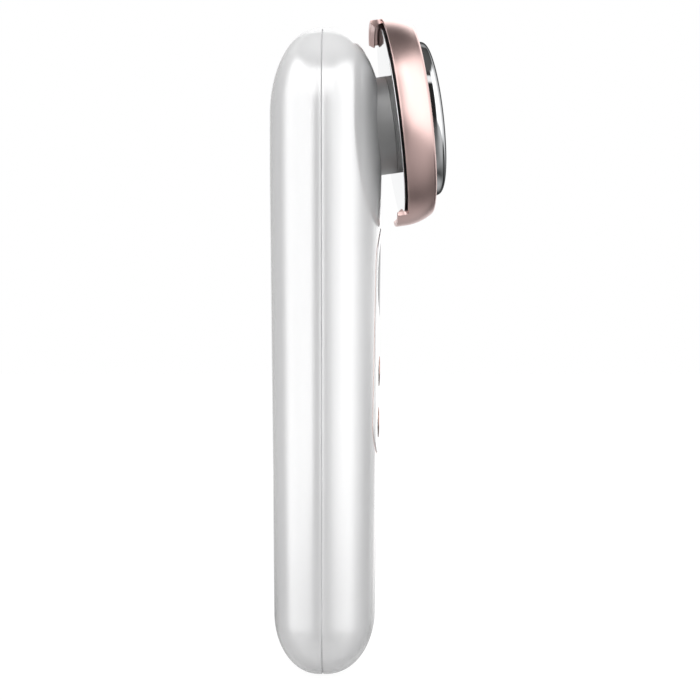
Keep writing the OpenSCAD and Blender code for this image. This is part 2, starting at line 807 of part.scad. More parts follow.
lip_r = plate_r + 0.35;
ring_centre = ring_r - ring_curve;
lip_t = 1.1;
front_fillet = 1.4;
tooth_r = dish_r + 0.15;
tooth_z = -1.4;
hook_root = 0.06;                    // a hook starts this far inside the band's wall

// Radius of the ring's barrel at a distance along its axis, for an arc of radius c
function barrel(c, z) = ring_centre + sqrt(c * c - z * z);

// Half section of the ring's band: a barrel wall and a front lip
module band_profile() {
    inner = ring_curve - ring_wall;
    z_out = ring_l - 1.3;
    z_in = ring_l - lip_t - 0.35;
    polygon(concat(
        [for (i = [0 : 8]) [barrel(ring_curve, z_out * i / 8), z_out * i / 8]],
        [
            [barrel(ring_curve, z_out) - 0.14, z_out + 0.5],
            [barrel(ring_curve, z_out) - 0.47, z_out + 0.9],
            [lip_r + 3, ring_l - 0.17],
            [lip_r + 1.9, ring_l],
            [lip_r + 0.25, ring_l - 0.1],
            [lip_r, ring_l - 0.35],
            [lip_r, ring_l - lip_t],
            [barrel(inner, z_in) - 0.6, z_in]
        ],
        [for (i = [8 : -1 : 0]) [barrel(inner, (z_in - 0.6) * i / 8), (z_in - 0.6) * i / 8]]
    ));
}

// Half section of a hook: a wall behind the band with a tooth that turns inwards
module hook_profile() {
    inner_r = ring_r - ring_wall;
    polygon([
        [ring_r - hook_root, 0.4], [ring_r + 0.1, -hook_l + 0.3], [ring_r - 0.15, -hook_l],
        [inner_r + 0.35, -hook_l], [tooth_r, tooth_z - 0.3], [tooth_r, tooth_z],
        [inner_r, tooth_z + 0.3], [inner_r + hook_root, 0.4]
    ]);
}

module retaining_ring() color([0.86, 0.66, 0.62])
    on_head() {
        rotate_extrude() band_profile();
        for (a = [90, 270]) rotate(a - hook_span / 2) rotate_extrude(angle = hook_span) hook_profile();
    }

// ---------------------------------------------------------------- the part

seat() rear_shell();
seat() front_shell();
seat() seam_seal();
seat() control_panel();
seat() panel_trim();
seat() display_window();
seat() light_guide();
seat() button_rims();
seat() power_button();
seat() mode_button();
seat() main_board();
seat() indicator_leds();
seat() board_chips();
seat() tact_switches();
seat() inner_frame();
seat() board_screws();
seat() battery();
seat() battery_pad();
seat() charge_socket();
seat() neck();
seat() neck_screws();
seat() back_dish();
seat() head_carrier();
seat() head_screws();
seat() plate_seal();
seat() contact_plate();
seat() contact_pin();
seat() vibration_motor();
seat() motor_clip();
seat() motor_shaft();
seat() eccentric_weight();
seat() retaining_ring();
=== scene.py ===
# Looks of the facial toning device: finer shells, trim, panel, window, ring and contact plate in place
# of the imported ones, procedural materials, studio light, and a camera at the photograph's angle.
# Shapes are worked out in millimetres, in the axes of the part's source. Heights are measured from
# the handle's lowest point until seat() brings each point into the frame, in metres.
import math
import bmesh
import bpy
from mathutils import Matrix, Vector


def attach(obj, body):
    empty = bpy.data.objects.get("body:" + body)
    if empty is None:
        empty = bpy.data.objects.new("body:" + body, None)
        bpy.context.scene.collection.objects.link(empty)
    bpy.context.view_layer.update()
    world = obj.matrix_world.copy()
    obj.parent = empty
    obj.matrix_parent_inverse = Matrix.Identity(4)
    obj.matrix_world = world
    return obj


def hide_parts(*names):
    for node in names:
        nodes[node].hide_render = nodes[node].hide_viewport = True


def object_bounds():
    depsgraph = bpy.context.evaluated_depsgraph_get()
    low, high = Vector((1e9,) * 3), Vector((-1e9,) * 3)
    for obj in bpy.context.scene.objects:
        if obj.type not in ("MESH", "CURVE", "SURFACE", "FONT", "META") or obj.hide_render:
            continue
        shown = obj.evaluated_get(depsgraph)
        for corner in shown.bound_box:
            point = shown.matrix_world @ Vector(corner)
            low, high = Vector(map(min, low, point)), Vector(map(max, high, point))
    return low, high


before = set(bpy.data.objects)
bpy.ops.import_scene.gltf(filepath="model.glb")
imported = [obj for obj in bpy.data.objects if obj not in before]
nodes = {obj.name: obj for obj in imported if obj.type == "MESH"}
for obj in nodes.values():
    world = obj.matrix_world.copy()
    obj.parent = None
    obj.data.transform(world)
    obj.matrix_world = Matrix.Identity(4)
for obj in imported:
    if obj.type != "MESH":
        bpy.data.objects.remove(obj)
cad_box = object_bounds()
scene = bpy.context.scene
MM = 0.001

# ---------------------------------------------------------------- sizes, as in the part's source

BODY_H = 177.6           # height of the handle
WIDTH_LOW = 38.0         # width of the handle near the bottom
WIDTH_HIGH = 44.8        # width of the handle near the top
FRONT_LOW = 14.2         # depth of the front shell near the bottom
FRONT_HIGH = 16.1        # depth of the front shell near the top
REAR_LOW = 13.45         # depth of the rear shell near the bottom
REAR_HIGH = 14.75        # depth of the rear shell near the top
TOP_CAP = 24.8           # height of the rounded top end
BOTTOM_CAP = 17.4        # height of the rounded bottom end
TAPER_MARGIN = 16.2      # the taper ends this far below the rounded top end
SQUARENESS = 2.6         # squareness of the cross-section, where 2 is an ellipse
WALL = 2.3               # wall of the shells
SEAM = 0.3               # width of the parting groove

PANEL_DROP = 53.5        # distance of the panel's upper end below the top of the handle
PANEL_L = 64.3           # length of the panel with its trim
PANEL_W = 25.2           # width of the panel with its trim
PANEL_CORNER = 9.5       # radius of the panel's lower corners
RECESS = 1.4             # depth of the recess that holds the panel
TRIM_W = 1.0             # width of the trim
TRIM_SINK = 0.15         # depth of the trim's face below the surface of the shell
WINDOW_W = 20.2          # width of the display window
WINDOW_L = 24.5          # length of the display window
WINDOW_MARGIN = 3.6      # distance from the panel's upper end to the window
GUIDE_W = 11.0           # width of the light guide behind the window
GUIDE_L = 17.0           # length of the light guide

RIM_R = 4.3              # outer radius of a button's rim
RIM_W = 0.6              # width of a button's rim
RIM_DEPTH = 0.6          # depth of a rim's seat in the panel
BORE_GAP = 0.07          # clearance between a button's cap and its bore
FLANGE_R = 4.5           # radius of the flange that keeps a button in
POWER_UP = 23.3          # height of the power button above the panel's lower end
MODE_UP = 9.1            # height of the mode button above the panel's lower end

HEAD_DROP = 25.9         # distance of the head's centre below the top of the handle
HEAD_Y = 19.35           # distance from the parting plane to the head's centre
HEAD_TILT = 8.0          # upward tilt of the head, in degrees
RING_R = 28.0            # outer radius of the ring at its rear edge
RING_CURVE = 13.7        # radius of the ring's barrel curve along its axis
RING_L = 8.25            # depth of the ring's band from its rear edge to its front lip
RING_WALL = 1.25         # wall of the ring
LIP_W = 7.1              # distance from the ring's outer edge in to the contact plate
LIP_GAP = 0.35           # clearance between the ring's lip and the plate
LIP_T = 1.1              # thickness of the lip
RIM_INSET = 2.1          # distance from the ring's outer edge in to the dish's rim
HOOK_SPAN = 37.0         # angle that each of the ring's two hooks spans, in degrees
HOOK_L = 2.9             # length of the hooks behind the ring's rear edge
HOOK_GAP = 0.15          # clearance between a hook's tooth and the dish's rim
TOOTH_Z = -1.4           # front end of a tooth's tip, along the head's axis
DOME_H = 4.1             # height of the contact plate's dome
DOME_RISE = 0.15         # the dome starts this far in front of the ring's opening
DOME_SQUARENESS = 4.2    # squareness of the plate's domed section, where 2 is an ellipse
PLATE_WALL = 1.0         # wall of the contact plate
LEDGE_Z = 3.9            # place of the seal's seat along the head's axis
SEAL_T = 0.7             # thickness of the plate's seal
NECK_R = 13.2            # outer radius of the neck
NECK_CUT = 16.0          # the neck's opening starts this far behind the head's centre

SOCKET_R = 3.2           # radius of the charging socket
SOCKET_RECESS = 0.6      # the socket's mouth lies this far above the handle's lowest point
SMALL = 0.01             # keeps two faces from coinciding
SLIP = 0.05              # clearance between pieces that touch in use
LOOSE = 0.1              # clearance between a piece and the opening it passes through
OVER = 1.0               # unit of how far a cutter reaches past what it cuts

CAP_Z1 = BODY_H - TOP_CAP
TAPER_Z0 = BOTTOM_CAP
TAPER_Z1 = CAP_Z1 - TAPER_MARGIN
PANEL_Z1 = BODY_H - PANEL_DROP
PANEL_Z0 = PANEL_Z1 - PANEL_L
PANEL_SLOPE = math.atan((FRONT_HIGH - FRONT_LOW) / (TAPER_Z1 - TAPER_Z0))
WINDOW_Z1 = PANEL_Z1 - WINDOW_MARGIN
WINDOW_Z0 = WINDOW_Z1 - WINDOW_L
GUIDE_Z = (WINDOW_Z0 + WINDOW_Z1) / 2
BUTTON_ZS = (PANEL_Z0 + POWER_UP, PANEL_Z0 + MODE_UP)
BORE_R = RIM_R - RIM_W - LOOSE + BORE_GAP
HEAD_Z = BODY_H - HEAD_DROP
PLATE_R = RING_R - LIP_W


def mix(a, b, t):
    return a + (b - a) * t


def spaced(a, b, n):
    """Values from a to b in n even steps."""
    return [mix(a, b, i / n) for i in range(n + 1)]


def taper(z):
    return max(0.0, min(1.0, (z - TAPER_Z0) / (TAPER_Z1 - TAPER_Z0)))


def end_scale(z):
    """How much the handle's rounded ends narrow it at the height z."""
    if z < BOTTOM_CAP:
        t = (BOTTOM_CAP - z) / BOTTOM_CAP
    elif z > CAP_Z1:
        t = (z - CAP_Z1) / TOP_CAP
    else:
        return 1.0
    return math.sqrt(max(0.0, 1 - t * t))


def half_w(z):
    return mix(WIDTH_LOW, WIDTH_HIGH, taper(z)) / 2 * end_scale(z)


def front_d(z):
    return mix(FRONT_LOW, FRONT_HIGH, taper(z)) * end_scale(z)


def rear_d(z):
    return mix(REAR_LOW, REAR_HIGH, taper(z)) * end_scale(z)


def front_at(x, z):
    """Depth of the front shell's surface, from the parting plane."""
    arch = max(0.0, 1 - (abs(x) / half_w(z)) ** SQUARENESS) ** (1 / SQUARENESS)
    return SEAM / 2 + (front_d(z) - SEAM / 2) * arch


# ---------------------------------------------------------------- places

def seat(p):
    """A point in the source's heights (mm) as a point of the frame (m)."""
    return Vector((p[0], p[1], p[2] - SOCKET_RECESS)) * MM


def on_handle(p):
    """The handle's own axes are the source's, so a point stays as it is."""
    return p


def on_shell(x, z, lift):
    """The point at x and z that stands this far out of the front shell's surface."""
    return (x, -(front_at(x, z) + lift), z)


def on_head(p):
    """A point in the head's axes (x, up, along the axis) in the source's axes."""
    x, up, s = p
    tilt = math.radians(HEAD_TILT)
    c, t = math.cos(tilt), math.sin(tilt)
    return (x, -HEAD_Y - s * c + up * t, HEAD_Z + s * t + up * c)


def on_panel(z):
    """Gives the function that places points in the axes (x, up, out) of a button at the height z."""
    c, s = math.cos(PANEL_SLOPE), math.sin(PANEL_SLOPE)

    def place(p):
        x, up, out = p
        return (x, -front_d(z) - out * c - up * s, z + up * c - out * s)

    return place


# ---------------------------------------------------------------- meshes

MERGE, NO_LENGTH = 2e-7, 1e-7          # distances (m) at which clean() joins points and drops edges
ON_AXIS = 1e-6                         # a lathe's point nearer than this is on its axis
CUTTER_SEGMENTS = 96
CUTTER_REACH = 40.0                    # depth of the straight cutters in front of the parting plane


def clean(obj, sharp):
    """Joins double points, turns the normals out, and keeps edges crisp from this angle (degrees)."""
    mesh = bmesh.new()
    mesh.from_mesh(obj.data)
    bmesh.ops.remove_doubles(mesh, verts=mesh.verts, dist=MERGE)
    bmesh.ops.dissolve_degenerate(mesh, edges=mesh.edges, dist=NO_LENGTH)
    bmesh.ops.recalc_face_normals(mesh, faces=mesh.faces)
    limit = math.radians(sharp)
    for face in mesh.faces:
        face.smooth = True
    for edge in mesh.edges:
        edge.smooth = len(edge.link_faces) != 2 or edge.calc_face_angle(0) < limit
    mesh.to_mesh(obj.data)
    mesh.free()


def make(name, points, faces, sharp=35):
    """A mesh object from points in the source's axes."""
    mesh = bpy.data.meshes.new(name)
    mesh.from_pydata([seat(p) for p in points], [], faces)
    obj = bpy.data.objects.new(name, mesh)
    scene.collection.objects.link(obj)
    clean(obj, sharp)
    return obj


def boolean(obj, other, operation="DIFFERENCE"):
    """Applies one exact boolean and deletes the other object."""
    step = obj.modifiers.new("cut", "BOOLEAN")
    step.operation, step.solver, step.object = operation, "EXACT", other
    bpy.context.view_layer.update()
    done = bpy.data.meshes.new_from_object(obj.evaluated_get(bpy.context.evaluated_depsgraph_get()))
    obj.modifiers.remove(step)
    before = obj.data
    obj.data = done
    done.name = obj.name
    bpy.data.meshes.remove(before)
    bpy.data.objects.remove(other)


def add_loop(points, loops, new):
    """Adds a loop of points and keeps their numbers."""
    loops.append(list(range(len(points), len(points) + len(new))))
    points.extend(new)


def strip(faces, a, b):
    """Adds quads between two closed loops of point numbers."""
    for k in range(len(a)):
        m = (k + 1) % len(a)
        faces.append((a[k], a[m], b[m], b[k]))


def skin(faces, loops, closed=False):
    """Adds quads between each loop and the next, and between the last and the first where closed."""
    following = loops[1:] + loops[:1] if closed else loops[1:]
    for a, b in zip(loops, following):
        strip(faces, a, b)


def lathe(name, profile, place, segments):
    """Turns a closed profile of (radius, along) about the axis. A point on the axis is one vertex."""
    points, faces, loops = [], [], []
    for r, s in profile:
        if r < ON_AXIS:
            loops.append([len(points)] * segments)
            points.append(place((0, 0, s)))
        else:
            turns = [2 * math.pi * k / segments for k in range(segments)]
            add_loop(points, loops, [place((r * math.cos(a), r * math.sin(a), s)) for a in turns])
    for a, b in zip(loops, loops[1:] + loops[:1]):
        a_tip, b_tip = a[0] == a[1], b[0] == b[1]
        if a_tip and b_tip:
            continue
        for k in range(segments):
            m = (k + 1) % segments
            if a_tip:
                faces.append((a[k], b[m], b[k]))
            elif b_tip:
                faces.append((a[k], a[m], b[k]))
            else:
                faces.append((a[k], a[m], b[m], b[k]))
    return make(name, points, faces)


def cylinder(place, radius, s0, s1):
    """A round cutter between two places along its axis."""
    return lathe("cutter", [(0, s0), (radius, s0), (radius, s1), (0, s1)], place, CUTTER_SEGMENTS)


def prism(loop):
    """A straight cutter that goes in from the front to the parting plane, with this front view."""
    n = len(loop)
    points = [(x, -CUTTER_REACH, z) for x, z in loop] + [(x, 0, z) for x, z in loop]
    faces = [tuple(range(n)), tuple(range(2 * n - 1, n - 1, -1))]
    strip(faces, list(range(n)), list(range(n, 2 * n)))
    return make("cutter", points, faces)


def rounding(turns):
    """A rounded edge of radius 1, at these angles: how far in from the side, and how far below the face."""
    return [(1 - math.cos(math.radians(a)), 1 - math.sin(math.radians(a))) for a in turns]


# ---------------------------------------------------------------- shells

CAP_ROWS, MID_ROWS, MARGIN_ROWS, COLUMNS = 40, 26, 5, 72
SHEET_ROWS, SHEET_COLUMNS = 60, 40
TOP_POINTS, SIDE_POINTS, CORNER_POINTS, END_POINTS = 56, 30, 20, 8     # on the panel's outline
WINDOW_POINTS, WINDOW_SIDE_POINTS = 48, 6
GUIDE_POINTS = 32
SEAM_ROUND = 0.06                      # radius of the shells' edges along the parting groove
SEAM_TURNS = (22.5, 45, 67.5, 90)
CUT_SHARP = 30                         # edges of the cut pieces stay crisp from this angle (degrees)


def shell_rows():
    """Heights of the rows of points between the two tips of a shell."""
    low = [BOTTOM_CAP * (1 - math.cos(math.pi / 2 * i / CAP_ROWS)) for i in range(1, CAP_ROWS + 1)]
    middle = spaced(BOTTOM_CAP, TAPER_Z1, MID_ROWS)[1:-1] + spaced(TAPER_Z1, CAP_Z1, MARGIN_ROWS)[:-1]
    high = [CAP_Z1 + TOP_CAP * math.sin(math.pi / 2 * i / CAP_ROWS) for i in range(CAP_ROWS)]
    return low + middle + high


ROW_Z = shell_rows()
LAST_ROW = len(ROW_Z) - 1


def signed_pow(v, p):
    return math.copysign(abs(v) ** p, v)


def shell_surface(side, y0, inset):
    """Points of one half's surface, drawn in by the inset: the lower tip, the rows, the upper tip."""
    depth_at, max_depth = (front_d, FRONT_HIGH) if side < 0 else (rear_d, REAR_HIGH)
    e = 2 / SQUARENESS
    kx = 1 - 2 * inset / WIDTH_HIGH
    ky = 1 - inset / (max_depth - SEAM / 2)
    kz = 1 - 2 * inset / BODY_H
    points = [(0, side * y0, inset)]
    for z in ROW_Z:
        for turn in spaced(-90, 90, COLUMNS):
            a = math.radians(turn)
            x = half_w(z) * signed_pow(math.sin(a), e)
            y = y0 + (depth_at(z) - y0) * max(0.0, math.cos(a)) ** e * ky
            points.append((x * kx, side * y, inset + z * kz))
    points.append((0, side * y0, inset + BODY_H * kz))
    return points


def shell_number(first, i, j):
    """Number of the point in row i and column j of the surface whose lower tip is the point first."""
    return first + 1 + i * (COLUMNS + 1) + j


def shell_faces(first, count):
    """Faces of a surface: quads between its rows, and a fan round each tip."""
    def at(i, j):
        return shell_number(first, i, j)

    faces = []
    for i in range(LAST_ROW):
        for j in range(COLUMNS):
            faces.append((at(i, j), at(i, j + 1), at(i + 1, j + 1), at(i + 1, j)))
    for j in range(COLUMNS):
        faces.append((first, at(0, j + 1), at(0, j)))
        faces.append((first + count - 1, at(LAST_ROW, j), at(LAST_ROW, j + 1)))
    return faces


def outward(outline, k):
    """Direction in X and Z that points out of a shell's outline at its point k."""
    before, here, after = (outline[(k + d) % len(outline)] for d in (-1, 0, 1))
    along = Vector((after[0] - before[0], after[2] - before[2])).normalized()
    nx, nz = -along[1], along[0]
    if nx * here[0] + nz * (here[2] - BODY_H / 2) < 0:
        nx, nz = -nx, -nz
    return nx, nz


def half_shell(name, side):
    """One half of the casing: an outer and an inner surface, joined by a rounded edge at the groove."""
    outer = shell_surface(side, SEAM / 2 + SEAM_ROUND, 0)
    points = outer + shell_surface(side, SEAM / 2, WALL)
    count = len(outer)
    faces = shell_faces(0, count) + shell_faces(count, count)
    edge = [0] + [shell_number(0, i, 0) for i in range(len(ROW_Z))]
    edge += [count - 1] + [shell_number(0, i, COLUMNS) for i in reversed(range(len(ROW_Z)))]
    outline = [points[number] for number in edge]
    normals = [outward(outline, k) for k in range(len(outline))]
    loops = [edge]
    for drawn, below in rounding(SEAM_TURNS):
        y = side * (SEAM / 2 + SEAM_ROUND * below)
        add_loop(points, loops, [
            (x - nx * SEAM_ROUND * drawn, y, z - nz * SEAM_ROUND * drawn)
            for (x, _, z), (nx, nz) in zip(outline, normals)
        ])
    loops.append([number + count for number in edge])
    skin(faces, loops)
    return make(name, points, faces)


def sheet(half, z0, z1, lift, depth):
    """A closed curved sheet that follows the front shell, from a height above it to a depth below."""
    points, faces = [], []
    for height in (lift, -depth):
        for z in spaced(z0, z1, SHEET_ROWS):
            points += [on_shell(x, z, height) for x in spaced(-half, half, SHEET_COLUMNS)]

    def at(i, j):
        return i * (SHEET_COLUMNS + 1) + j

    below = len(points) // 2
    for i in range(SHEET_ROWS):
        for j in range(SHEET_COLUMNS):
            quad = (at(i, j), at(i, j + 1), at(i + 1, j + 1), at(i + 1, j))
            faces += [quad, tuple(below + number for number in reversed(quad))]
    edge = [at(0, j) for j in range(SHEET_COLUMNS)]
    edge += [at(i, SHEET_COLUMNS) for i in range(SHEET_ROWS)]
    edge += [at(SHEET_ROWS, j) for j in range(SHEET_COLUMNS, 0, -1)]
    edge += [at(i, 0) for i in range(SHEET_ROWS, 0, -1)]
    strip(faces, edge, [below + number for number in edge])
    return make("cutter", points, faces)


def arc(cx, cz, r, a0, a1, n):
    """Points on an arc between two angles (degrees), without the last one."""
    turns = [math.radians(a) for a in spaced(a0, a1, n)[:-1]]
    return [(cx + r * math.cos(a), cz + r * math.sin(a)) for a in turns]


def line(a, b, n):
    """Points on a line, without the last one."""
    return [(mix(a[0], b[0], i / n), mix(a[1], b[1], i / n)) for i in range(n)]


def panel_loop(inset):
    """Front view of the panel, drawn in: a round top and two round lower corners."""
    r, corner, z0 = PANEL_W / 2 - inset, PANEL_CORNER - inset, PANEL_Z0 + inset
    top, low = PANEL_Z1 - PANEL_W / 2, z0 + corner
    loop = arc(0, top, r, 0, 180, TOP_POINTS)
    loop += line((-r, top), (-r, low), SIDE_POINTS)
    loop += arc(-r + corner, low, corner, 180, 270, CORNER_POINTS)
    loop += line((-r + corner, z0), (r - corner, z0), END_POINTS)
    loop += arc(r - corner, low, corner, 270, 360, CORNER_POINTS)
    return loop + line((r, low), (r, top), SIDE_POINTS)


def window_loop(inset):
    """Front view of the window, drawn in: two half circles and the straight sides between them."""
    r = WINDOW_W / 2 - inset
    high, low = WINDOW_Z1 - WINDOW_W / 2, WINDOW_Z0 + WINDOW_W / 2
    loop = arc(0, high, r, 0, 180, WINDOW_POINTS)
    loop += line((-r, high), (-r, low), WINDOW_SIDE_POINTS)
    loop += arc(0, low, r, 180, 360, WINDOW_POINTS)
    return loop + line((r, low), (r, high), WINDOW_SIDE_POINTS)


def guide_loop():
    """Front view of the opening for the light guide."""
    r, up = GUIDE_W / 2 + LOOSE, (GUIDE_L - GUIDE_W) / 2
    upper = arc(0, GUIDE_Z + up, r, 0, 180, GUIDE_POINTS)
    return upper + arc(0, GUIDE_Z - up, r, 180, 360, GUIDE_POINTS)


def cut_socket(shell):
    """Cuts the charging socket's opening, which ends the work on a shell."""
    boolean(shell, cylinder(on_handle, SOCKET_R + LOOSE, -OVER, WALL + 2 * OVER))
    clean(shell, CUT_SHARP)


def front_shell():
    """The front half, with the panel's recess and the openings for neck, buttons, guide and socket."""
    shell = half_shell("front_shell_fine", -1)
    recess = sheet(PANEL_W / 2 + 2 * OVER, PANEL_Z0 - 2 * OVER, PANEL_Z1 + 2 * OVER, 3 * OVER, RECESS)
    boolean(recess, prism(panel_loop(-SLIP)), "INTERSECT")
    boolean(shell, recess)
    boolean(shell, cylinder(on_head, NECK_R + LOOSE, -NECK_CUT, 4 * OVER))
    for z in BUTTON_ZS:
        boolean(shell, cylinder(on_panel(z), FLANGE_R + 4 * LOOSE, -WALL - 2 * OVER, OVER))
    boolean(shell, prism(guide_loop()))
    cut_socket(shell)
    return shell


def rear_shell():
    """The rear half, which only has the socket's opening."""
    shell = half_shell("rear_shell_fine", 1)
    cut_socket(shell)
    return shell


# ---------------------------------------------------------------- control panel

TRIM_ROUND = 0.16                      # radius of the trim's edges
INLAY_ROUND = 0.12                     # radius of the edges of the panel and the window
INLAY_STEPS = 14                       # loops between an inlay's edge and its core
INLAY_CORE = 9.0                       # distance of the core's outline from the panel's or window's
SPINE_UP = 12.5                        # lower end of the panel's spine, above the panel's lower end
CORE_SHARES = (0.33, 0.66, 1.0)        # places of the loops between the core and the spine
ROUND_TURNS = (30, 60, 90)
INLAY_BACK = -(RECESS - SLIP)          # rear face of what lies in the recess


def panel_trim():
    """The line of trim round the panel, with rounded edges."""
    near = [(0, INLAY_BACK), (0, -TRIM_SINK - TRIM_ROUND)]
    near += [(TRIM_ROUND * u, -TRIM_SINK - TRIM_ROUND * v) for u, v in rounding(ROUND_TURNS)]
    section = near + [(TRIM_W - u, height) for u, height in reversed(near)]
    points, faces, loops = [], [], []
    for inset, height in section:
        add_loop(points, loops, [on_shell(x, z, height) for x, z in panel_loop(inset)])
    skin(faces, loops, closed=True)
    return make("panel_trim_fine", points, faces)


def inlay(name, loop_at, inset, spine):
    """A plate that follows the front shell, with a rounded edge, filled in to its spine (z0, z1)."""
    filling = [loop_at(d) for d in spaced(inset + INLAY_ROUND, INLAY_CORE, INLAY_STEPS)[1:]]
    core = filling[-1]
    for t in CORE_SHARES:
        filling.append([(mix(x, 0, t), mix(z, min(max(z, spine[0]), spine[1]), t)) for x, z in core])
    layers = [(loop, INLAY_BACK) for loop in reversed(filling)]
    layers += [(loop_at(inset + INLAY_ROUND), INLAY_BACK), (loop_at(inset), INLAY_BACK)]
    layers.append((loop_at(inset), LOOSE - INLAY_ROUND))
    for u, v in rounding(ROUND_TURNS):
        layers.append((loop_at(inset + INLAY_ROUND * u), LOOSE - INLAY_ROUND * v))
    layers += [(loop, LOOSE) for loop in filling]
    points, faces, loops = [], [], []
    for loop, height in layers:
        add_loop(points, loops, [on_shell(x, z, height) for x, z in loop])
    skin(faces, loops)
    return make(name, points, faces)


def control_panel():
    """The panel, with the window's opening and a bore and a rim's seat for each button."""
    spine = (PANEL_Z0 + SPINE_UP, PANEL_Z1 - PANEL_W / 2)
    plate = inlay("control_panel_fine", panel_loop, TRIM_W + SLIP, spine)
    boolean(plate, prism(window_loop(-SLIP)))
    for z in BUTTON_ZS:
        boolean(plate, cylinder(on_panel(z), BORE_R, -RECESS - OVER, OVER))
        boolean(plate, cylinder(on_panel(z), RIM_R + SLIP, -RIM_DEPTH, 2 * OVER))
    clean(plate, CUT_SHARP)
    return plate


def display_window():
    """The window, which fills the panel's opening."""
    spine = (WINDOW_Z0 + WINDOW_W / 2, WINDOW_Z1 - WINDOW_W / 2)
    return inlay("display_window_fine", window_loop, 0, spine)


# ---------------------------------------------------------------- ring

RING_CENTRE = RING_R - RING_CURVE
INNER_R = RING_R - RING_WALL
LIP_R = PLATE_R + LIP_GAP
TOOTH_R = RING_R - RIM_INSET + HOOK_GAP
HALF_HOOK = math.radians(HOOK_SPAN / 2)
HOOK_MIDDLES = (math.pi / 2, 3 * math.pi / 2)
RING_ROWS, HULL_ROWS, INSIDE_ROWS, TOOTH_ROWS = 240, 26, 12, 32
RING_SHARP = 32
RING_EDGE = 0.25                       # rounding of the ring's rear edges
SHOULDER = 1.3                         # the barrel turns into the front corner this far from the front
LIP_BACK = 0.35                        # the inside of the wall starts this far behind the lip
LIP_CHAMFER = 0.6                      # chamfer between the lip and the inside of the wall
FRONT_ROWS, LIP_ROWS = 9, 5
HOOK_FILLET = 1.15                     # radius between the ring's rear edge and a hook's end
HOOK_CORNER = 0.35                     # radius of a hook's corners
# Arc distances (mm) outside a hook's end at which the ring has a row of its own
HOOK_STOPS = (-2.4, -1.0, -0.35, -0.29, -0.2, -0.12, -0.05, -0.0005, 0.0005, 0.03, 0.09, 0.18,
              0.3, 0.45, 0.63, 0.85, 1.15, 1.6)
HOOK_CLEAR = 1.9                       # the even rows keep this arc distance from a hook's end
TOOTH_PROUD = 0.004                    # a tooth ends this far past the wall, so no two faces coincide


def barrel(curve, s):
    """Radius of the barrel at the place s along the axis, for a curve of this radius."""
    return RING_CENTRE + math.sqrt(curve * curve - s * s)


def bezier(a, b, c, n):
    """Points on a curve from a to c that leaves both ends towards b."""
    out = []
    for i in range(n + 1):
        t = i / n
        out.append(tuple(a[k] * (1 - t) ** 2 + 2 * b[k] * t * (1 - t) + c[k] * t * t for k in (0, 1)))
    return out


def ring_section(reach):
    """Section (radius, along the axis) of the ring where its wall reaches this far to the rear."""
    s_start = RING_EDGE + 2 * SMALL
    s_out = RING_L - SHOULDER
    s_in = RING_L - LIP_T - LIP_BACK
    curve_in = RING_CURVE - RING_WALL
    back = [
        (INNER_R, -reach + RING_EDGE), (INNER_R + 0.1, -reach + 0.07), (INNER_R + RING_EDGE, -reach),
        (RING_R - RING_EDGE, -reach), (RING_R - 0.08, -reach + 0.06), (RING_R, -reach + RING_EDGE),
    ]
    hull = [(barrel(RING_CURVE, s), s) for s in spaced(s_start, s_out, HULL_ROWS)]
    corner_top = (barrel(RING_CURVE, s_out) - 0.42, RING_L - 0.22)
    corner = bezier(hull[-1], corner_top, (LIP_R + 3.0, RING_L - 0.1), FRONT_ROWS)[1:]
    lip = [(LIP_R + 1.9, RING_L)]
    lip += bezier((LIP_R + 0.45, RING_L - 0.08), (LIP_R, RING_L - 0.12), (LIP_R, RING_L - 0.5), LIP_ROWS)
    lip += [(LIP_R, RING_L - LIP_T), (barrel(curve_in, s_in) - LIP_CHAMFER, s_in)]
    inside = [(barrel(curve_in, s), s) for s in spaced(s_in - LIP_CHAMFER, s_start, INSIDE_ROWS)]
    return back + hull + corner + lip + inside


def tooth_section():
    """Section of a hook's tooth, which turns inwards and whose root is inside the ring's wall."""
    back = -HOOK_L - TOOTH_PROUD
    return [
        (INNER_R + 0.6, back), (INNER_R + 0.35, back), (TOOTH_R + 0.05, TOOTH_Z - 0.36),
        (TOOTH_R, TOOTH_Z - 0.25), (TOOTH_R, TOOTH_Z - 0.05), (TOOTH_R + 0.06, TOOTH_Z + 0.03),
        (INNER_R - 0.04, TOOTH_Z + 0.3), (INNER_R + 0.3, TOOTH_Z + 0.3), (INNER_R + 0.6, TOOTH_Z),
    ]


def hook_reach(t):
    """How far the ring reaches back at the arc distance t (mm) outside a hook's end."""
    if t >= HOOK_FILLET:
        return 0.0
    if t > 0:
        return HOOK_FILLET - math.sqrt(HOOK_FILLET ** 2 - (HOOK_FILLET - t) ** 2)
    if t > -HOOK_CORNER:
        return HOOK_L - HOOK_CORNER + math.sqrt(HOOK_CORNER ** 2 - (HOOK_CORNER + t) ** 2)
    return HOOK_L


def ring_rows():
    """Angles round the ring at which it has a section, each with how far the ring reaches back there."""
    reaches = {}
    for middle in HOOK_MIDDLES:
        for way in (-1, 1):
            for t in HOOK_STOPS:
                reaches[middle + way * (HALF_HOOK + t / RING_R)] = hook_reach(t)
    step = 2 * math.pi / RING_ROWS
    for k in range(RING_ROWS):
        off = min(abs(k * step - middle) for middle in HOOK_MIDDLES) - HALF_HOOK
        if abs(off) * RING_R > HOOK_CLEAR:
            reaches[k * step] = HOOK_L if off < 0 else 0.0
    return sorted(reaches.items())


def ring_loop(section, a):
    """A section of the ring, at the angle a round the head's axis."""
    return [on_head((r * math.cos(a), r * math.sin(a), s)) for r, s in section]


